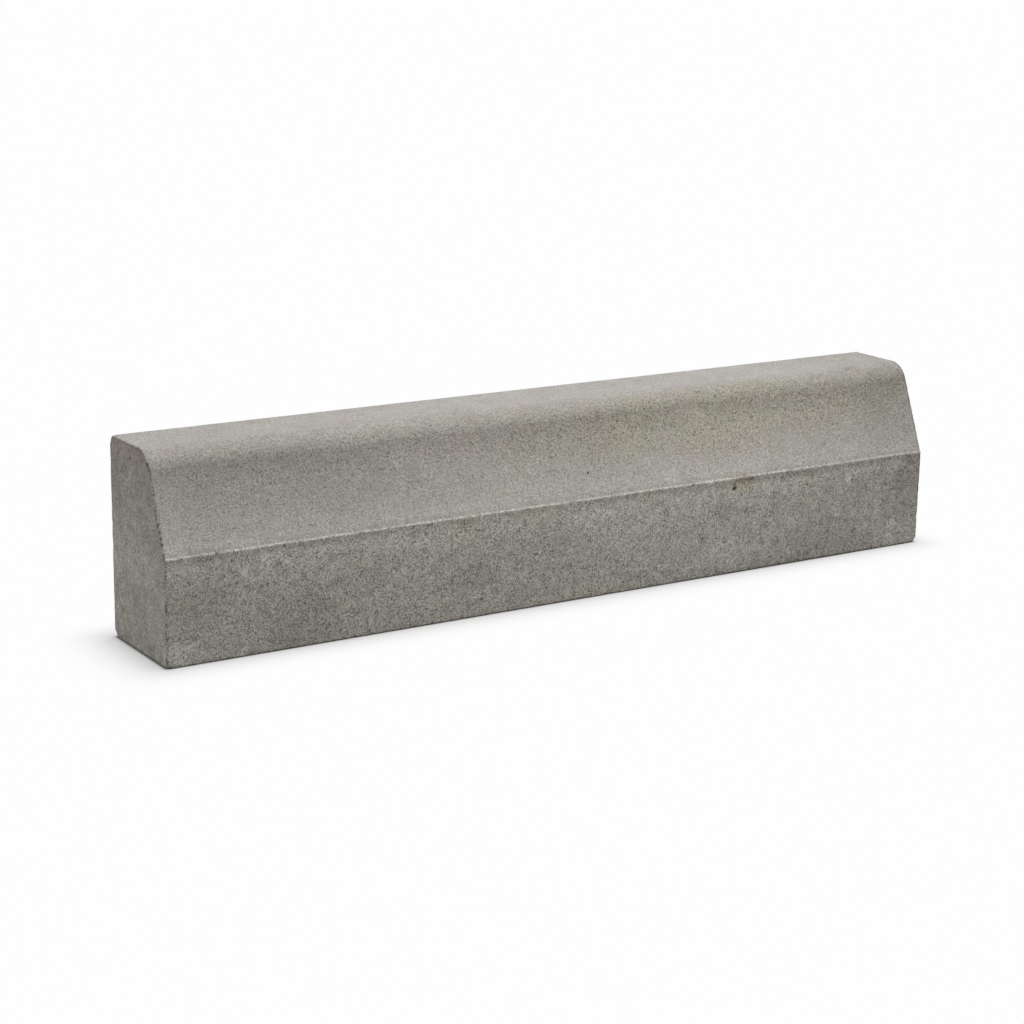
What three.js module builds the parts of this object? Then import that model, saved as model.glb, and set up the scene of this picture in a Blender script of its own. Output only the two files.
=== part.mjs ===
import * as THREE from 'three';

// A concrete kerb stone, pressed in one piece: a vertical front face, a narrow ledge along the break
// line, a battered upper face that runs through a nosing into the flat top, and a plain vertical back.
// Millimetres, +Z up. The length runs along X, the front faces -Y, and the origin is at the middle of
// the base.

// Driving dimensions
const LENGTH = 1000; // one laid unit, end face to end face
const BASE_WIDTH = 130; // front face to back face, across the base
const HEIGHT = 216; // base to flat top
const BATTER_HEIGHT = 102; // break line to flat top
const BATTER_INSET = 42; // how far the batter's line has leaned back where it reaches the top's level
const LEDGE_WIDTH = 1.5; // how far the front face stands proud of the foot of the batter
const LEDGE_RISE = 1; // how far the ledge's slope climbs from the front face to the batter
const NOSING_RADIUS = 28; // between the batter and the flat top
const BACK_ARRIS = 4; // edge between the flat top and the back
const BASE_ARRIS = 1.5; // edges between the base and the front and back faces
const END_ARRIS = 1.5; // edges all round both end faces

// Facets of the rounded surfaces
const NOSING_FACETS = 16;
const ARRIS_FACETS = 4; // round each arris along the stone
const END_FACETS = 3; // round each end's arris
const LEAST_ARC = 0.3; // radius that a narrow arris keeps where an end's arris wraps round it

const concrete = new THREE.MeshStandardMaterial({
  name: 'concrete',
  color: 0xb0aca4,
  roughness: 0.92,
  metalness: 0,
});

// The section's corners, from the foot of the front face over the top and down the back. Each is the
// point where its two faces would meet, with the radius that rounds it and the facets round that arc,
// or neither where it is crisp.
function sectionCorners() {
  const front = -BASE_WIDTH / 2;
  const back = BASE_WIDTH / 2;
  const breakLine = HEIGHT - BATTER_HEIGHT;
  return [
    { point: new THREE.Vector2(front, 0), radius: BASE_ARRIS, facets: ARRIS_FACETS },
    { point: new THREE.Vector2(front, breakLine) },
    { point: new THREE.Vector2(front + LEDGE_WIDTH, breakLine + LEDGE_RISE) },
    {
      point: new THREE.Vector2(front + BATTER_INSET, HEIGHT),
      radius: NOSING_RADIUS,
      facets: NOSING_FACETS,
    },
    { point: new THREE.Vector2(back, HEIGHT), radius: BACK_ARRIS, facets: ARRIS_FACETS },
    { point: new THREE.Vector2(back, 0), radius: BASE_ARRIS, facets: ARRIS_FACETS },
  ];
}

// Unit normal of the face from one corner to the next, pointing into the stone.
function inwardNormal(from, to) {
  const along = to.clone().sub(from).normalize();
  return new THREE.Vector2(along.y, -along.x);
}

// The section's outline in Y and Z, with every face moved into the stone by inset. The rounded corners
// stay concentric, so each one's radius shrinks by as much.
function sectionOutline(inset) {
  const corners = sectionCorners();
  return corners.flatMap(({ point, radius, facets }, i) => {
    const entering = inwardNormal(corners.at(i - 1).point, point);
    const leaving = inwardNormal(point, corners[(i + 1) % corners.length].point);
    const mitre = entering.clone().add(leaving).divideScalar(1 + entering.dot(leaving));
    if (radius === undefined) {
      return [point.clone().addScaledVector(mitre, inset)];
    }
    const arcRadius = Math.max(radius - inset, LEAST_ARC);
    const centre = point.clone().addScaledVector(mitre, inset + arcRadius);
    const startAngle = entering.negate().angle();
    const endAngle = leaving.negate().angle();
    const arc = new THREE.EllipseCurve(
      centre.x,
      centre.y,
      arcRadius,
      arcRadius,
      startAngle,
      endAngle,
      true,
    );
    return arc.getPoints(facets);
  });
}

// Outlines across the length: each end's arris is a quarter round that opens from the inset end face
// to the full section.
function lengthwiseRings() {
  const leftEnd = [];
  for (let facet = 0; facet <= END_FACETS; facet += 1) {
    const turn = (facet / END_FACETS) * (Math.PI / 2);
    leftEnd.push({
      x: END_ARRIS * (1 - Math.cos(turn)) - LENGTH / 2,
      outline: sectionOutline(END_ARRIS * (1 - Math.sin(turn))),
    });
  }
  const rightEnd = leftEnd.map(({ x, outline }) => ({ x: -x, outline })).reverse();
  return [...leftEnd, ...rightEnd];
}

// One closed skin through the rings, with a flat face over the first and the last.
function loft(rings) {
  const perRing = rings[0].outline.length;
  const positions = rings.flatMap(({ x, outline }) => outline.flatMap((p) => [x, p.x, p.y]));
  const triangles = [];
  for (let ring = 0; ring < rings.length - 1; ring += 1) {
    for (let i = 0; i < perRing; i += 1) {
      const a = ring * perRing + i;
      const b = ring * perRing + ((i + 1) % perRing);
      triangles.push(a, a + perRing, b, b, a + perRing, b + perRing);
    }
  }
  const lastRing = (rings.length - 1) * perRing;
  for (const [a, b, c] of THREE.ShapeUtils.triangulateShape(rings[0].outline, [])) {
    triangles.push(c, b, a);
    triangles.push(lastRing + a, lastRing + b, lastRing + c);
  }
  const geometry = new THREE.BufferGeometry();
  geometry.setAttribute('position', new THREE.Float32BufferAttribute(positions, 3));
  geometry.setIndex(triangles);
  geometry.computeVertexNormals();
  return geometry;
}

const kerbStone = new THREE.Mesh(loft(lengthwiseRings()), concrete);
kerbStone.name = 'kerb_stone';

const kerb = new THREE.Group();
kerb.add(kerbStone);

export default kerb;
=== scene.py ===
"""A pressed concrete kerb stone: the skin, finish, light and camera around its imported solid. Metres."""

import functools
import math

import bmesh
import bpy
import numpy as np
from mathutils import Matrix, Vector, noise
from mathutils.geometry import delaunay_2d_cdt


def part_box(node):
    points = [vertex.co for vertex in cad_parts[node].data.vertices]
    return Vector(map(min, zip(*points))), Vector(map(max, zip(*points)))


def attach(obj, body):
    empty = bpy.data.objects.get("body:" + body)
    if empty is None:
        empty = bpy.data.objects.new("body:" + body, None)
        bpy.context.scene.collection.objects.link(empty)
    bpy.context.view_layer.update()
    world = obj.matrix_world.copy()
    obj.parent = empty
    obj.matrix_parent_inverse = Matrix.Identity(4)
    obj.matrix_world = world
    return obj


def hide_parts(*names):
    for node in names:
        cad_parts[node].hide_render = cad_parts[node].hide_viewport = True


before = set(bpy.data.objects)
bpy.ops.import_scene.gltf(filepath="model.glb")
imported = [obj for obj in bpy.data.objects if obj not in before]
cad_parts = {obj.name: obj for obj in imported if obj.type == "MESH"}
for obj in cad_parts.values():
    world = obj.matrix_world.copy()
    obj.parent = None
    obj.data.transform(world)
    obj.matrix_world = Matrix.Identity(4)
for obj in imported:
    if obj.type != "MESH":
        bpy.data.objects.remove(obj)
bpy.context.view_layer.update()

NODE = "kerb_stone"

# Section of the stone. Its length, width and height come from the imported solid.
LOW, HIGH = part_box(NODE)
FRONT, BACK = LOW.y, HIGH.y
BASE, TOP = LOW.z, HIGH.z
BREAK_LINE = TOP - 0.102
BATTER_INSET = 0.042
LEDGE_WIDTH = 0.0015
LEDGE_RISE = 0.001
LEDGE_ARRIS = 0.0005
NOSING_RADIUS = 0.028
BACK_ARRIS = 0.004
BASE_ARRIS = 0.0015
END_ARRIS = 0.0015

# Mesh spacing
LENGTH_STEP = 0.0024  # along the stone
SHOWN_STEP = 0.0023  # up its front and batter, and across its top
HIDDEN_STEP = 0.006  # up the back and across the base
END_STEP = 0.003  # over the end faces
LEDGE_STEP = 0.0006
NOSING_STEP = 0.0017
ARRIS_STEP = 0.001
LEDGE_ARRIS_STEP = ARRIS_STEP / 6
END_RINGS = 4  # round each end's arris
END_MARGIN = END_STEP * 0.7  # between an end face's outline and the points inside it
END_ROW_DENSITY = 1.15  # rows of points lie closer than the points in a row
LEAST_ARC = 0.0003  # radius that a small arris keeps where an end's arris wraps round it
INSIDE_ONLY = 1  # tells the triangulation to keep what lies inside the outline
MERGE_DISTANCE = 1e-7  # points of an end face that are closer than this count as one

# Each corner of the section, from the foot of the front over the top and down the back: y, z, radius,
# the mesh spacing round its arc, and the spacing on the flat run to the next corner.
CORNERS = (
    (FRONT, BASE, BASE_ARRIS, ARRIS_STEP, SHOWN_STEP),
    (FRONT, BREAK_LINE, LEDGE_ARRIS, LEDGE_ARRIS_STEP, LEDGE_STEP),
    (FRONT + LEDGE_WIDTH, BREAK_LINE + LEDGE_RISE, 0.0, ARRIS_STEP, SHOWN_STEP),
    (FRONT + BATTER_INSET, TOP, NOSING_RADIUS, NOSING_STEP, SHOWN_STEP),
    (BACK, TOP, BACK_ARRIS, ARRIS_STEP, HIDDEN_STEP),
    (BACK, BASE, BASE_ARRIS, ARRIS_STEP, HIDDEN_STEP),
)


# ---- Shape ----------------------------------------------------------------------------------------


def corner_arc(i, inset):
    """Points round one corner, with every face moved into the stone by inset. Any inset gives as many."""
    here = np.array(CORNERS[i][:2])
    before = np.array(CORNERS[i - 1][:2])
    after = np.array(CORNERS[(i + 1) % len(CORNERS)][:2])
    full_radius, step = CORNERS[i][2:4]
    first, last = (
        np.array([start[1] - end[1], end[0] - start[0]]) / math.dist(start, end)
        for start, end in ((before, here), (here, after))
    )
    turn = math.acos(first @ last)
    facets = math.ceil(turn * full_radius / step)
    radius = max(full_radius - inset, min(full_radius, LEAST_ARC))
    centre = here - (first + last) / (1 + first @ last) * (inset + radius)
    angles = math.atan2(first[1], first[0]) - turn * np.linspace(0, 1, facets + 1)
    return centre + radius * np.stack([np.cos(angles), np.sin(angles)], axis=1)


def section(inset):
    """The section's closed outline (y, z), with every face moved into the stone by inset."""
    points = []
    for i, corner in enumerate(CORNERS):
        following = (i + 1) % len(CORNERS)
        full_run = math.dist(corner_arc(i, 0)[-1], corner_arc(following, 0)[0])
        run = np.linspace(
            corner_arc(i, inset)[-1], corner_arc(following, inset)[0], round(full_run / corner[4]) + 1
        )
        points += [*corner_arc(i, inset), *run[1:-1]]
    return np.array(points)


def end_rings(x, outward):
    """Outlines from an end face's edge round its arris to the full section, as (x, outline)."""
    turns = np.linspace(0, math.pi / 2, END_RINGS + 1)
    return [
        (x - outward * END_ARRIS * (1 - math.cos(turn)), section(END_ARRIS * (1 - math.sin(turn))))
        for turn in turns
    ]


def end_face(outline):
    """Points spread inside an end face's outline (y, z), and the triangles that join them all."""
    rise = outline[: outline[:, 1].argmax() + 1]
    bottom, top, back = outline[:, 1].min(), outline[:, 1].max(), outline[:, 0].max()
    row_count = round((top - bottom) / END_STEP * END_ROW_DENSITY)
    inner = []
    for k, z in enumerate(np.linspace(bottom + END_MARGIN, top - END_MARGIN, row_count)):
        start = np.interp(z, rise[:, 1], rise[:, 0]) + END_MARGIN + END_STEP / 2 * (k % 2)
        inner += [(y, z) for y in np.arange(start, back - END_MARGIN, END_STEP)]
    points = [Vector(p) for p in (*outline, *inner)]
    edge = list(range(len(outline)))
    _, _, triangles, origins, _, _ = delaunay_2d_cdt(points, [], [edge], INSIDE_ONLY, MERGE_DISTANCE)
    return np.array(inner), [[origins[v][0] for v in triangle] for triangle in triangles]


def smooth_stone():
    """Vertices and faces of the stone before any wear, finely divided."""
    left, right = end_rings(LOW.x, -1), end_rings(HIGH.x, 1)
    steps = round((right[-1][0] - left[-1][0]) / LENGTH_STEP)
    between = [(x, left[-1][1]) for x in np.linspace(left[-1][0], right[-1][0], steps + 1)[1:-1]]
    rings = [*left, *between, *reversed(right)]
    count = len(left[0][1])
    vertices = [np.insert(outline, 0, x, axis=1) for x, outline in rings]
    faces = []
    for k in range(len(rings) - 1):
        for j in range(count):
            a, b = k * count + j, k * count + (j + 1) % count
            faces.append((a, a + count, b + count, b))
    inner, triangles = end_face(left[0][1])
    vertices += [np.insert(inner, 0, x, axis=1) for x in (LOW.x, HIGH.x)]
    last_ring = (len(rings) - 1) * count
    for triangle in triangles:
        faces.append([v if v < count else v + last_ring for v in reversed(triangle)])
        faces.append([v + last_ring + (0 if v < count else len(inner)) for v in triangle])
    return np.concatenate(vertices), faces


# ---- Wear and relief --------------------------------------------------------------------------------

# Parts of a normal between which a point starts to belong to a face, and belongs to it wholly
FRONT_SLOPES = (0.2, 0.5)
END_SLOPES = (0.4, 0.8)
FLAT_TOP_SLOPES = (0.85, 0.98)
END_FACE_SLOPES = (0.985, 0.999)

WAVE_FEATURE, WAVE_OCTAVES, WAVE_DEPTH = 0.17, 2, 0.00020  # slow waviness of every face
# Other wear: the size, octaves and shift of its noise, where that noise starts and completes it, its depth
WEAR = {
    "cast": (0.011, 3, 3.7, -0.1, 0.9, 0.00040),  # open texture left by the mould's walls
    "pressed": (0.008, 2, 8.1, -0.3, 0.9, 0.00015),  # closed texture left by the press head
    "chips": (0.005, 3, 1.9, 0.0, 0.8, 0.0011),  # crumbled arrises round the ends
    "burr": (0.006, 2, 5.3, -0.2, 0.7, 0.0005),  # uneven crest of the ledge
}
LONG_CHIP_SHARE = 0.3  # depth of the chips on the long arrises, against those round the ends
CREST_REACH = (0.0008, 0.0022)  # from the ledge's edge to where its crest starts to end, and ends
END_EDGE_REACH = (0.0038, 0.0012)  # from an end to where its darker edge starts, and is full

# Air holes: (side, place across the side, height, half width, half height, depth)
AIR_HOLES = (
    ("front", 0.2141, 0.1018, 0.0036, 0.0025, 0.0024),
    ("front", 0.2140, 0.1062, 0.0030, 0.0008, 0.0003),
    ("front", 0.2374, 0.1101, 0.0013, 0.0011, 0.0005),
    ("front", 0.0156, 0.1406, 0.0014, 0.0014, 0.0012),
    ("front", -0.1315, 0.1528, 0.0009, 0.0009, 0.0008),
    ("left", 0.0143, 0.2011, 0.0020, 0.0020, 0.0012),
)
SIDE_AXES = {"front": (0, 1), "left": (1, 0)}  # the axis across a side, and the one whose minus end it faces
SIDE_SLOPE = 0.5  # how squarely a point has to face a side for the side's holes to reach it
HOLE_MARGIN = 0.004  # how far the finer mesh reaches past a hole's rim, across the side
HOLE_CUTS = 3  # cuts that the finer mesh makes in each edge
HOLE_SHADE = 0.75  # how much darker a hole is painted: its grime and the shade inside it
HOLE_SHADE_DEPTH = 0.8  # share of a hole's depth at which its grime and painted shade are darkest

# Corners rounded by handling: (x side, y side, z side, radius)
WORN_CORNERS = (
    (-1, 1, -1, 0.006),
    (-1, -1, -1, 0.004),
    (1, -1, -1, 0.0048),
    (1, 1, -1, 0.005),
    (-1, 1, 1, 0.005),
    (1, 1, 1, 0.003),
)


def swing(points, feature, octaves=1, shift=0.0):
    """Smooth noise between about -1 and 1 at each point, with bumps of the given size."""
    offset = Vector((shift, -shift, 2 * shift))
    return np.array([noise.fractal(Vector(p) / feature + offset, 1.0, 2.0, octaves) for p in points])


def ramp(values, start, end):
    """0 at start, 1 at end and smooth between."""
    t = np.clip((values - start) / (end - start), 0, 1)
    return t * t * (3 - 2 * t)


def end_share(normals):
    """1 on the ends, and 0 on the faces that run along the stone."""
    return ramp(np.abs(normals[:, 0]), *END_SLOPES)


def front_share(normals):
    """1 on the faces that look to the road and up, and 0 on the ends, the back and the base."""
    towards_front = ramp(np.maximum(-normals[:, 1], normals[:, 2]), *FRONT_SLOPES)
    return towards_front * (1 - end_share(normals))


def pressed_share(points, normals):
    """1 on the batter, nosing and top, which the press head formed, and 0 on the faces the mould formed."""
    above_break = ramp(points[:, 2], BREAK_LINE, BREAK_LINE + LEDGE_RISE)
    return above_break * front_share(normals)


def arris_share(normals):
    """1 in the middle of an arris round an end, less on the long arrises and 0 on the faces."""
    x, y, z = normals.T
    end, base, back = (4 * c * c * (1 - c * c) for c in (x, np.minimum(z, 0), np.where(y > 0, z, 0)))
    return np.maximum(end, LONG_CHIP_SHARE * np.maximum(base, back))


def end_edge_share(points, normals):
    """1 along the edges of the end faces, and 0 elsewhere."""
    start, full = (HIGH.x - reach for reach in END_EDGE_REACH)
    on_end_face = ramp(np.abs(normals[:, 0]), *END_FACE_SLOPES)
    return ramp(np.abs(points[:, 0]), start, full) * (1 - on_end_face)


def hollows(points, kind):
    """How deep one kind of wear goes at each point."""
    feature, octaves, shift, start, full, depth = WEAR[kind]
    return depth * ramp(swing(points, feature, octaves, shift), start, full)


def wear_depth(points, normals, pressed):
    """How far each point lies below the sound surface."""
    crest = 1 - ramp(np.hypot(points[:, 1] - FRONT, points[:, 2] - BREAK_LINE), *CREST_REACH)
    depth = WAVE_DEPTH * (0.5 + 0.5 * swing(points, WAVE_FEATURE, WAVE_OCTAVES))
    depth += (1 - pressed) * hollows(points, "cast")
    depth += pressed * hollows(points, "pressed")
    depth += arris_share(normals) * hollows(points, "chips")
    depth += crest * hollows(points, "burr")
    return depth


def hole_distances(points, normals):
    """Each air hole's half width and depth, and how far each point is from its middle: 1 on its rim."""
    for side, across, z, half_width, half_height, depth in AIR_HOLES:
        across_axis, facing_axis = SIDE_AXES[side]
        off = np.hypot((points[:, across_axis] - across) / half_width, (points[:, 2] - z) / half_height)
        yield half_width, depth, np.where(normals[:, facing_axis] < -SIDE_SLOPE, off, np.inf)


def hole_marks(points, normals):
    """How deep the air holes go at each point, and how light the grime and painted shade in them leave it."""
    depth, light = np.zeros(len(points)), np.ones(len(points))
    for _, hole_depth, off in hole_distances(points, normals):
        bowl = np.sqrt(np.clip(1 - off**2, 0, 1))
        depth += hole_depth * bowl
        light *= 1 - HOLE_SHADE * ramp(bowl, 0.0, HOLE_SHADE_DEPTH)
    return depth, light


def refine_near_holes(mesh):
    """Divides the mesh more finely round each air hole."""
    points = read_vectors(mesh.vertices, "co")
    normals = read_vectors(mesh.vertex_normals, "vector")
    near = np.zeros(len(points), bool)
    for half_width, _, off in hole_distances(points, normals):
        near |= off < 1 + HOLE_MARGIN / half_width
    grid = bmesh.new()
    grid.from_mesh(mesh)
    edges = [edge for edge in grid.edges if all(near[v.index] for v in edge.verts)]
    bmesh.ops.subdivide_edges(grid, edges=edges, cuts=HOLE_CUTS, use_grid_fill=True)
    grid.to_mesh(mesh)
    grid.free()


def round_corner(points, sides, radius):
    """Pulls the points of one outer corner of the box back onto a sphere."""
    corner = np.array([LOW if side < 0 else HIGH for side in sides]).diagonal()
    centre = corner - radius * np.array(sides)
    away = points - centre
    beyond = np.all(away * sides > 0, axis=1)
    distance = np.linalg.norm(away, axis=1)
    outside = beyond & (distance > radius)
    points[outside] = centre + away[outside] * (radius / distance[outside])[:, None]


# ---- Stains -------------------------------------------------------------------------------------------

# Darker and lighter patches of the front, batter, nosing and top: (x, z, half width, half height, change). A
# few are painted shade, along the foot and under the ledge.
PATCHES = (
    (-0.350, 0.028, 0.045, 0.030, -0.14),
    (-0.140, 0.045, 0.028, 0.016, -0.12),
    (-0.465, 0.070, 0.040, 0.045, -0.12),
    (0.475, 0.088, 0.030, 0.020, -0.15),
    (0.405, 0.085, 0.014, 0.012, -0.12),
    (0.197, 0.078, 0.014, 0.012, -0.12),
    (0.350, 0.018, 0.060, 0.030, -0.11),
    (-0.480, 0.012, 0.020, 0.014, 0.12),
    (0.050, 0.080, 0.060, 0.022, 0.08),
    (0.205, 0.030, 0.034, 0.014, 0.10),
    (0.460, 0.020, 0.024, 0.012, 0.10),
    (-0.380, 0.160, 0.160, 0.045, -0.11),
    (0.170, 0.189, 0.020, 0.007, 0.10),
    (0.500, 0.155, 0.100, 0.060, -0.13),
    (0.500, 0.065, 0.060, 0.045, -0.12),
    # painted shade in the foot of the front's left corner
    (-0.498, 0.0, 0.007, 0.003, -0.5),
    (0.150, 0.070, 0.110, 0.050, 0.05),
    (0.200, 0.150, 0.110, 0.035, 0.05),
    (0.225, 0.182, 0.210, 0.022, 0.05),
    (0.480, 0.207, 0.045, 0.010, -0.06),
    # painted shade under the ledge's crest, towards the right
    (0.300, 0.1085, 0.180, 0.004, -0.10),
    # painted shade along the foot, towards the right
    (0.330, 0.0, 0.170, 0.002, -0.25),
    (-0.490, 0.142, 0.020, 0.035, 0.06),
    (0.020, 0.009, 0.060, 0.009, 0.10),
    (0.280, 0.050, 0.030, 0.014, 0.08),
    (0.420, 0.076, 0.020, 0.022, -0.06),
    (0.070, 0.086, 0.020, 0.012, -0.06),
    (-0.350, 0.130, 0.030, 0.014, 0.06),
    (-0.215, 0.135, 0.035, 0.012, -0.05),
    (0.415, 0.214, 0.022, 0.012, -0.07),
    (0.229, 0.1108, 0.014, 0.0026, -0.24),
)

# Yellow-brown stains of the same faces: (x, z, half width, half height, share)
RUST = (
    (0.223, 0.107, 0.021, 0.009, 0.95),
    (0.205, 0.182, 0.262, 0.031, 0.62),
    (-0.152, 0.101, 0.024, 0.012, 0.5),
    (0.090, 0.107, 0.008, 0.006, 0.8),
    (0.030, 0.005, 0.060, 0.004, 0.4),
    (0.200, 0.143, 0.060, 0.012, 0.2),
)
# How the edges of patches and stains wander: size, octaves and shift of the noise, and its share
WANDER_FEATURE, WANDER_OCTAVES, WANDER_SHIFT, WANDER_SHARE = 0.02, 3, 6.3, 0.35
SPOT_EDGE = (0.6, 1.4)  # where a patch starts to fade and where it ends, against its half size


def blots(points, normals, spots):
    """Sum of soft-edged patches on the faces that look to the road and up."""
    wander = 1 + WANDER_SHARE * swing(points, WANDER_FEATURE, WANDER_OCTAVES, WANDER_SHIFT)
    total = np.zeros(len(points))
    for x, z, half_width, half_height, amount in spots:
        off = np.hypot((points[:, 0] - x) / half_width, (points[:, 2] - z) / half_height)
        total += amount * (1 - ramp(off * wander, *SPOT_EDGE))
    return total * front_share(normals)


def read_vectors(items, name):
    """One row for each vertex."""
    values = np.empty(3 * len(items))
    items.foreach_get(name, values)
    return values.reshape(-1, 3)


def build_stone():
    """The stone's worn skin, with the shares and tones its material reads."""
    points, faces = smooth_stone()
    mesh = bpy.data.meshes.new("kerb_skin")
    mesh.from_pydata(points.tolist(), [], faces)
    refine_near_holes(mesh)
    points = read_vectors(mesh.vertices, "co")
    normals = read_vectors(mesh.vertex_normals, "vector")
    pressed = pressed_share(points, normals)
    hole_depth, hole_light = hole_marks(points, normals)
    depth = wear_depth(points, normals, pressed) + hole_depth
    worn = points - normals * depth[:, None]
    for x, y, z, radius in WORN_CORNERS:
        round_corner(worn, (x, y, z), radius)
    mesh.vertices.foreach_set("co", np.clip(worn, LOW, HIGH).ravel())
    mesh.shade_smooth()
    looks = {
        "pressed": pressed,
        "front": front_share(normals),
        "flat_top": ramp(normals[:, 2], *FLAT_TOP_SLOPES),
        "end": end_share(normals),
        "end_edge": end_edge_share(points, normals),
        # the tone holds the patches, with painted shade at the foot and under the ledge among them, and the
        # holes' grime and painted shade
        "tone": (1 + blots(points, normals, PATCHES)) * hole_light,
        "rust": np.clip(blots(points, normals, RUST), 0, 1),
    }
    for name, values in looks.items():
        mesh.attributes.new(name, "FLOAT", "POINT").data.foreach_set("value", values.astype(np.float32))
    mesh.update()
    stone = bpy.data.objects.new("kerb_skin", mesh)
    bpy.context.scene.collection.objects.link(stone)
    return stone


# ---- Finish -----------------------------------------------------------------------------------------


class Finish:
    """Builds the nodes of a material or world. node() returns a node, and the others return a socket."""

    def __init__(self, owner):
        owner.use_nodes = True
        self.tree = owner.node_tree
        self.tree.nodes.clear()

    @functools.cached_property
    def place(self):
        """Where a point lies in its object."""
        return self.node("TexCoord").outputs["Object"]

    def node(self, kind, inputs=(), **settings):
        """A node of one kind; inputs maps socket names or numbers to values or to other sockets."""
        made = self.tree.nodes.new("ShaderNode" + kind)
        for name, value in settings.items():
            setattr(made, name, value)
        for key, value in dict(inputs).items():
            if isinstance(value, bpy.types.NodeSocket):
                self.tree.links.new(value, made.inputs[key])
            else:
                made.inputs[key].default_value = value
        return made

    def sums(self, operation, *values):
        """One step of arithmetic on numbers."""
        return self.node("Math", enumerate(values), operation=operation).outputs[0]

    def vectors(self, operation, *values):
        """One step of arithmetic on vectors or colours."""
        return self.node("VectorMath", enumerate(values), operation=operation).outputs[0]

    def add(self, *values):
        total = values[0]
        for value in values[1:]:
            total = self.sums("ADD", total, value)
        return total

    def times(self, *values):
        product = values[0]
        for value in values[1:]:
            product = self.sums("MULTIPLY", product, value)
        return product

    def mix(self, share, first, second):
        return self.node("Mix", {"Factor": share, "A": first, "B": second}).outputs["Result"]

    def span(self, value, from_low, from_high, to_low=0.0, to_high=1.0):
        """The value, scaled from one range to the other and kept inside it."""
        limits = {"From Min": from_low, "From Max": from_high, "To Min": to_low, "To Max": to_high}
        return self.node("MapRange", {"Value": value, **limits}).outputs["Result"]

    def cloud(self, feature, detail, roughness, shift):
        """Noise about zero, with blotches of the given size."""
        moved = self.vectors("ADD", self.place, (shift, shift, shift))
        inputs = {"Vector": moved, "Scale": 1 / feature, "Detail": detail, "Roughness": roughness}
        return self.sums("SUBTRACT", self.node("TexNoise", inputs).outputs["Fac"], 0.5)

    def lean(self, colour, share, tint):
        """The colour, taken by share towards its product with a tint."""
        change = [part - 1 for part in tint]
        return self.vectors("MULTIPLY", colour, self.vectors("MULTIPLY_ADD", share, change, (1, 1, 1)))

    def attribute(self, name):
        """A value that the mesh stores for each vertex."""
        return self.node("Attribute", attribute_name=name).outputs["Fac"]

    def profile(self, value, stops):
        """A curve of straight stretches through the (value, result) stops."""
        first, last = stops[0][0], stops[-1][0]
        highest = max(result for _, result in stops)
        made = self.node("ValToRGB", {"Fac": self.span(value, first, last)})
        elements = made.color_ramp.elements
        while len(elements) < len(stops):
            elements.new(1.0)
        for element, (at, result) in zip(elements, stops):
            element.position = (at - first) / (last - first)
            grey = result / highest
            element.color = (grey, grey, grey, 1.0)
        return self.times(made.outputs["Color"], highest)


# How light the front, batter, nosing and top are by height, against the base colour. The lowest stops are
# painted shade along the foot, the dip just under the ledge is painted shade below its crest, and the peak on
# the ledge is a painted highlight.
FACE_TONES = (
    # painted shade along the foot, where the stone meets the floor
    (0.0, 0.20),
    (0.0011, 0.25),
    (0.0018, 0.955),
    (0.0100, 0.99),
    (0.070, 0.965),
    (0.086, 1.05),
    (0.100, 1.15),
    (BREAK_LINE - 0.0075, 1.03),
    # painted shade under the ledge's crest
    (BREAK_LINE - 0.0040, 0.90),
    (BREAK_LINE - 0.0014, 0.92),
    # painted highlight along the ledge
    (BREAK_LINE - 0.0007, 1.58),
    (BREAK_LINE + 0.0003, 1.58),
    (BREAK_LINE + 0.0010, 1.03),
    (BREAK_LINE + 0.0075, 1.21),
    (0.1330, 1.14),
    (0.1550, 1.06),
    (0.1780, 0.99),
    (0.1920, 0.87),
    (0.1970, 0.86),
    (0.2000, 0.955),
    (0.2080, 0.995),
    (TOP - 0.0010, 0.973),
    (TOP - 0.0004, 1.004),
    (TOP, 0.997),
)
# The same on the ends; the lowest stops are painted shade along the foot
END_TONES = (
    # painted shade along the foot, where the stone meets the floor
    (0.0, 0.2),
    (0.0012, 0.3),
    (0.0026, 1.12),
    (0.040, 1.10),
    (0.066, 1.025),
    (0.094, 1.10),
    (0.120, 1.015),
    (0.173, 0.895),
    (TOP, 0.852),
)
# How strongly the pores show by height on the front, batter, nosing and top
PORE_SHARES = (
    (0.0, 1.0),
    (BREAK_LINE, 1.0),
    (BREAK_LINE + LEDGE_RISE, 0.40),
    (0.155, 0.50),
    (0.180, 0.85),
    (0.200, 0.80),
    (0.212, 0.30),
    (TOP, 0.20),
)
CALM_REACH, CALM_SHARE = 0.07, 0.55  # how far the calmer texture by the left end reaches, and its share

# Noises: size of the blotches, detail, roughness and shift
CLOUDS = {
    "fine": (0.0014, 2.0, 0.7, 0.45),
    "grain": (0.0036, 2.0, 0.6, 0.31),
    "curls": (0.012, 1.0, 0.5, 0.67),
    "mottle": (0.011, 3.0, 0.6, 0.77),
    "patches": (0.045, 3.0, 0.5, 0.13),
    "jitter": (0.005, 2.0, 0.6, 0.55),
    "pits": (0.0040, 1.0, 0.5, 0.21),
    "pores": (0.0030, 2.0, 0.6, 0.91),
    "pinholes": (0.0030, 1.0, 0.5, 0.83),
    "pink": (0.055, 2.0, 0.5, 0.29),
    "yellow": (0.070, 2.0, 0.5, 0.37),
}
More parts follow.
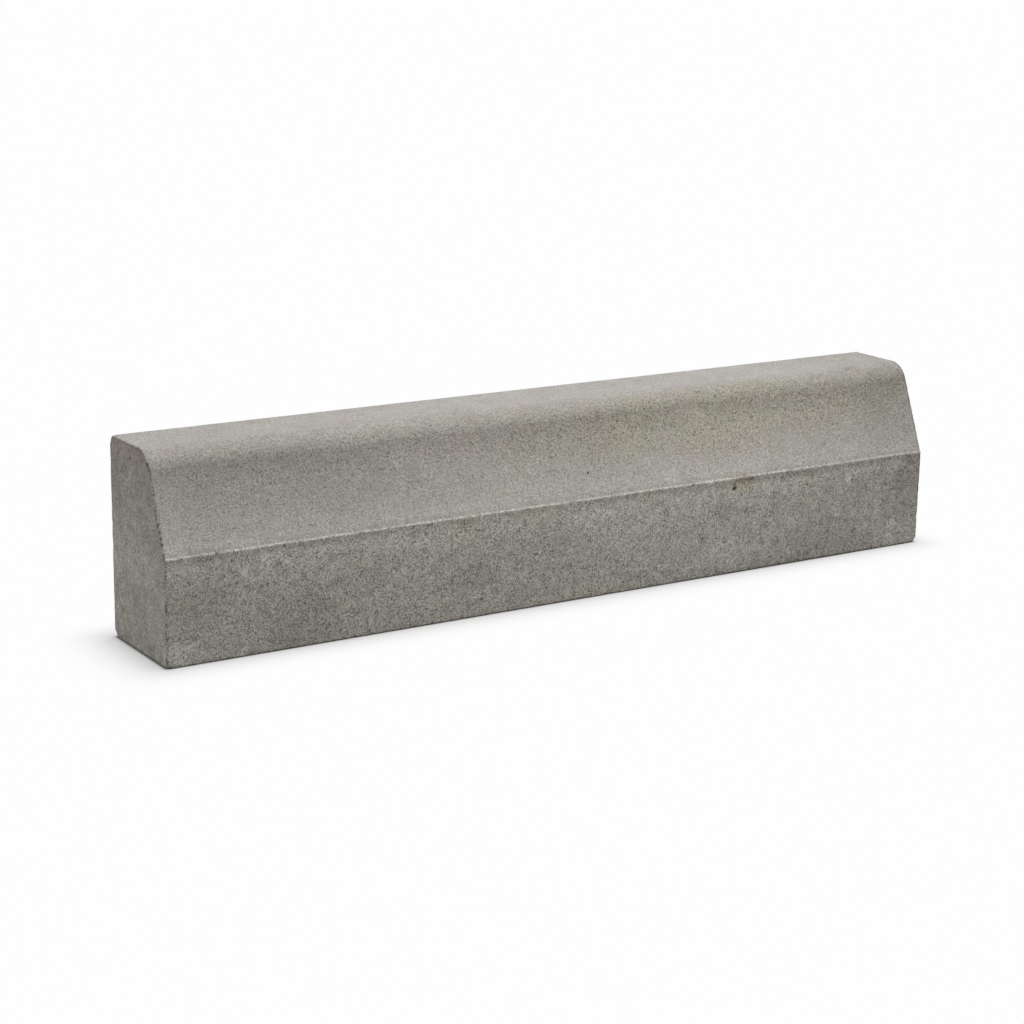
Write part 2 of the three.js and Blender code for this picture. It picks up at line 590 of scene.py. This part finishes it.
# How strongly the noises show: on the ends, back and base, the cast front, the batter and nosing, and the top
STRENGTHS = {
    "fine": (2.65, 1.7, 1.7, 1.7),
    "grain": (0.20, 0.20, 0.20, 1.10),
    "curls": (0.11, 0.13, 0.105, 0.105),
    "texture": (0.9, 1.5, 1.0, 0.65),  # of those three together
    "mottle": (0.80, 0.80, 0.21, 0.21),
    "patches": (0.42, 0.42, 0.26, 0.26),
}
CURL_TURNS = 54.0  # how tightly the curled lines wind
PIT_LEVELS = (0.02, 0.12)  # noise at which a pit starts, and is full
PORE_LEVELS = (0.02, 0.20)
PINHOLE_LEVELS = (0.11, 0.17)
PINK_LEVELS = (0.0, 0.20)
# how much darker pores and pinholes are painted: grime and painted shade in them
PORE_DARKNESS, PINHOLE_DARKNESS = 0.34, 0.45
PATCH_PORES = 0.3  # how much the patches add to the pores' noise
END_PORE_SHARE = 0.6  # pores on the ends, back and base
TOP_STAIN_SHARE = 0.3  # stain on the flat top
TONE_JITTER = 0.0012  # how far up and down the bands of tone wander, against their noise
END_MOTTLE, END_PATCHES = 0.05, 0.3  # unevenness of the ends' tone
EDGE_DARKENING, PIT_DARKENING = 0.15, 0.50  # darkening along the edges of the ends, and what pits add to it
PINK_SHARE, PRESSED_PINK, TOP_PINK = 0.3, 0.5, 1.4  # everywhere, and what the pressed faces and the top add
YELLOW_SHARE = 1.5  # how far the colour leans to yellow, against its noise
END_TOP_HEIGHTS = (0.175, 0.205)  # where the ends' warmer top starts, and is full
RELIEF = {"fine": 0.7, "grain": 0.9, "mottle": 0.6}  # heights of the noises in the bump
MARK_RELIEF = -0.4  # height of the pores and pinholes in the bump
PRESSED_RELIEF = 0.8  # share of the bump's height on the faces that the press head formed
BUMP_DEPTH = 0.0022
ROUGHNESS_MOTTLE, ROUGHNESS = (-0.3, 0.3), (0.95, 0.8)  # the mottle's lowest and highest, and what each gives
SPECULAR = 0.3

BASE_COLOUR = (0.4442, 0.4211, 0.3744)
STAIN_TINT = (1.0, 0.982, 0.865)
PRESSED_TINT = (0.994, 1.0, 1.012)
# the flat top's cooler tint: partly its pressed skin, partly painted light for the whiter light from above
TOP_TINT = (0.995, 1.0, 1.035)
YELLOW_TINT = (1.0, 1.0, 0.95)
PINK_TINT = (1.0, 0.975, 0.985)
PALE_TINT = (1.0, 1.027, 1.10)
END_TOP_TINT = (1.0, 0.965, 0.955)


class Concrete(Finish):
    """Grey pressed concrete: closed and even where the press head formed it, open and mottled elsewhere."""

    def __init__(self, material):
        super().__init__(material)
        self.pressed, self.front, self.flat_top = map(self.attribute, ("pressed", "front", "flat_top"))
        along, _, self.height = self.node("SeparateXYZ", {0: self.place}).outputs
        self.calm = self.span(along, LOW.x, LOW.x + CALM_REACH, CALM_SHARE, 1.0)
        self.clouds = {name: self.cloud(*settings) for name, settings in CLOUDS.items()}
        self.stain = self.times(self.attribute("rust"), self.mix(self.flat_top, 1.0, TOP_STAIN_SHARE))
        self.pores = self.pore_marks()
        self.pinholes = self.times(self.span(self.clouds["pinholes"], *PINHOLE_LEVELS), self.stain)

    def pore_marks(self):
        """1 in the middle of a fine pore, by as much as pores show there."""
        level = self.add(self.clouds["pores"], self.times(self.clouds["patches"], PATCH_PORES))
        front = self.times(self.profile(self.height, PORE_SHARES), self.calm)
        return self.times(self.span(level, *PORE_LEVELS), self.mix(self.front, END_PORE_SHARE, front))

    def strength(self, name):
        """How strongly a noise shows on each face."""
        ends, cast, pressed, top = STRENGTHS[name]
        front = self.mix(self.pressed, cast, self.mix(self.flat_top, pressed, top))
        return self.mix(self.front, ends, front)

    def tone(self):
        """How light the concrete is at each place, against the base colour, with the painted shade and
        highlight of the tone profiles and patches.
        """
        clouds = self.clouds
        height = self.add(self.height, self.times(clouds["jitter"], TONE_JITTER))
        # the tone profiles paint shade along the foot and under the ledge, and a highlight on the ledge
        front = self.profile(height, FACE_TONES)
        uneven = (self.times(clouds["mottle"], END_MOTTLE), self.times(clouds["patches"], END_PATCHES))
        end = self.times(self.profile(self.height, END_TONES), self.add(1.0, *uneven))
        pits = self.span(clouds["pits"], *PIT_LEVELS)
        # darker along the ends' edges, and darker still where pits break them
        darker_edges = self.times(self.attribute("end_edge"), self.add(EDGE_DARKENING, self.times(pits, PIT_DARKENING)))
        undarkened = self.sums("SUBTRACT", 1.0, darker_edges)
        return self.times(self.mix(self.front, end, front), self.attribute("tone"), undarkened)

    def texture(self):
        """How the noises and marks lighten and darken the tone, about 1."""
        clouds = self.clouds
        curls = self.sums("SINE", self.times(clouds["curls"], CURL_TURNS))
        lines = self.add(
            self.times(clouds["fine"], self.strength("fine")),
            self.times(clouds["grain"], self.strength("grain")),
            self.times(curls, self.strength("curls")),
        )
        return self.add(
            1.0,
            self.times(clouds["mottle"], self.mix(self.front, 1.0, self.calm), self.strength("mottle")),
            self.times(clouds["patches"], self.strength("patches")),
            self.times(lines, self.strength("texture")),
            self.times(self.pores, -PORE_DARKNESS),
            self.times(self.pinholes, -PINHOLE_DARKNESS),
        )

    def colour(self):
        """The base colour at its shade, leaning to each tint by its share."""
        shade = self.times(self.tone(), self.texture())
        pink = self.span(self.clouds["pink"], *PINK_LEVELS)
        more_pink = (self.times(self.pressed, PRESSED_PINK), self.times(self.flat_top, TOP_PINK))
        leanings = (
            (self.sums("SUBTRACT", shade, 1.0), PALE_TINT),
            (self.stain, STAIN_TINT),
            (self.pressed, PRESSED_TINT),
            (self.flat_top, TOP_TINT),
            (self.times(pink, self.add(PINK_SHARE, *more_pink)), PINK_TINT),
            (self.times(self.clouds["yellow"], YELLOW_SHARE), YELLOW_TINT),
            (self.times(self.span(self.height, *END_TOP_HEIGHTS), self.attribute("end")), END_TOP_TINT),
        )
        colour = self.node("VectorMath", {0: BASE_COLOUR, "Scale": shade}, operation="SCALE").outputs[0]
        for share, tint in leanings:
            colour = self.lean(colour, share, tint)
        return colour

    def bump(self):
        """The relief that is too fine for the mesh."""
        noises = [self.times(self.clouds[name], height) for name, height in RELIEF.items()]
        marks = [self.times(mark, MARK_RELIEF) for mark in (self.pores, self.pinholes)]
        height = self.times(self.add(*noises, *marks), self.mix(self.pressed, 1.0, PRESSED_RELIEF))
        return self.node("Bump", {"Strength": 1.0, "Distance": BUMP_DEPTH, "Height": height}).outputs[0]


def concrete():
    """The stone's material."""
    material = bpy.data.materials.new("pressed_concrete")
    f = Concrete(material)
    roughness = f.span(f.clouds["mottle"], *ROUGHNESS_MOTTLE, *ROUGHNESS)
    looks = {"Base Color": f.colour(), "Roughness": roughness, "Normal": f.bump()}
    shader = f.node("BsdfPrincipled", {**looks, "Specular IOR Level": SPECULAR})
    f.node("OutputMaterial", {"Surface": shader.outputs[0]})
    return material


# ---- Floor, light and camera --------------------------------------------------------------------------

WHITE = (1.0, 1.0, 1.0, 1.0)
BACKGROUND = 0.99  # how bright the background looks
AMBIENT = 0.41  # light from all round
SOFTBOX_AT = (0.38, 0.0, 2.4)
SOFTBOX_SIZE = 2.2
SOFTBOX_POWER = 47.5

FLOOR_HALF = 25.0
FLOOR_COLOUR = (0.8, 0.8, 0.8, 1.0)
# Share of the real, shadowed floor in what the camera sees, by distance from the stone's foot
SHADOW_SHARES = (
    (0.0, 1.0),
    (0.003, 0.62),
    (0.010, 0.52),
    (0.020, 0.38),
    (0.036, 0.20),
    (0.055, 0.06),
    (0.080, 0.0),
)
# How much that distance counts along x, y and z: past the left end and front, and past the right end and back
LEFT_AND_FRONT_FADE = (1.0, 1.35, 0.0)
RIGHT_AND_BACK_FADE = (1.7, 1.35, 0.0)

CAMERA_AT = Vector((-1.4108, -2.1022, 0.7406))
CAMERA_YAW, CAMERA_PITCH, CAMERA_ROLL = (math.radians(a) for a in (-32.929, 14.517, -0.983))
CAMERA_LENS = 81.47


def seen_directly(f):
    """1 for camera, glossy and transmission rays."""
    path = f.node("LightPath").outputs
    either = f.sums("MAXIMUM", path["Is Camera Ray"], path["Is Glossy Ray"])
    return f.sums("MAXIMUM", either, path["Is Transmission Ray"])


def floor_finish():
    """A pale matt floor that the camera sees as white, with the stone's shadow on it."""
    material = bpy.data.materials.new("pale_floor")
    f = Finish(material)
    pale = f.node("BsdfDiffuse", {"Color": FLOOR_COLOUR})
    white = f.node("Emission", {"Color": WHITE, "Strength": BACKGROUND})
    before = f.vectors("MULTIPLY", f.vectors("SUBTRACT", LOW, f.place), LEFT_AND_FRONT_FADE)
    beyond = f.vectors("MULTIPLY", f.vectors("SUBTRACT", f.place, HIGH), RIGHT_AND_BACK_FADE)
    outside = f.vectors("MAXIMUM", f.vectors("MAXIMUM", before, beyond), (0.0, 0.0, 0.0))
    away = f.node("VectorMath", {0: outside}, operation="LENGTH").outputs["Value"]
    whiteness = f.sums("SUBTRACT", 1.0, f.profile(away, SHADOW_SHARES))
    share = f.times(seen_directly(f), whiteness)
    shader = f.node("MixShader", {"Fac": share, 1: pale.outputs[0], 2: white.outputs[0]})
    f.node("OutputMaterial", {"Surface": shader.outputs[0]})
    return material


def add_floor():
    """A level square that the stone stands on."""
    mesh = bpy.data.meshes.new("floor")
    corners = [(x * FLOOR_HALF, y * FLOOR_HALF, BASE) for x, y in ((-1, -1), (1, -1), (1, 1), (-1, 1))]
    mesh.from_pydata(corners, [], [(0, 1, 2, 3)])
    mesh.materials.append(floor_finish())
    floor = bpy.data.objects.new("floor", mesh)
    bpy.context.scene.collection.objects.link(floor)


def set_world():
    """Soft light from all round, with a white background behind the floor."""
    world = bpy.data.worlds.new("studio")
    f = Finish(world)
    ambient, background = (
        f.node("Background", {"Color": WHITE, "Strength": strength}) for strength in (AMBIENT, BACKGROUND)
    )
    sky = f.node("MixShader", {"Fac": seen_directly(f), 1: ambient.outputs[0], 2: background.outputs[0]})
    f.node("OutputWorld", {"Surface": sky.outputs[0]})
    bpy.context.scene.world = world


def add_softbox():
    """A square lamp above the stone, aimed at its middle."""
    lamp = bpy.data.lights.new("overhead", "AREA")
    lamp.shape = "SQUARE"
    lamp.size = SOFTBOX_SIZE
    lamp.energy = SOFTBOX_POWER
    holder = bpy.data.objects.new("overhead", lamp)
    holder.location = SOFTBOX_AT
    aim = Vector((0, 0, TOP / 2)) - Vector(SOFTBOX_AT)
    holder.rotation_euler = aim.to_track_quat("-Z", "Y").to_euler()
    bpy.context.scene.collection.objects.link(holder)


def add_camera():
    """The photo's camera, fitted to the stone's straight edges."""
    data = bpy.data.cameras.new("camera")
    data.lens = CAMERA_LENS
    camera = bpy.data.objects.new("camera", data)
    turn = Matrix.Rotation(CAMERA_YAW, 4, "Z")
    tilt = Matrix.Rotation(math.pi / 2 - CAMERA_PITCH, 4, "X")
    roll = Matrix.Rotation(-CAMERA_ROLL, 4, "Z")
    camera.matrix_world = Matrix.Translation(CAMERA_AT) @ turn @ tilt @ roll
    bpy.context.scene.collection.objects.link(camera)
    bpy.context.scene.camera = camera


# ---- Scene --------------------------------------------------------------------------------------------

add_camera()
add_floor()
set_world()
add_softbox()

stone = build_stone()
stone.data.materials.append(concrete())
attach(stone, "root")
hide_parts(NODE)

bpy.context.scene.view_settings.view_transform = "Standard"
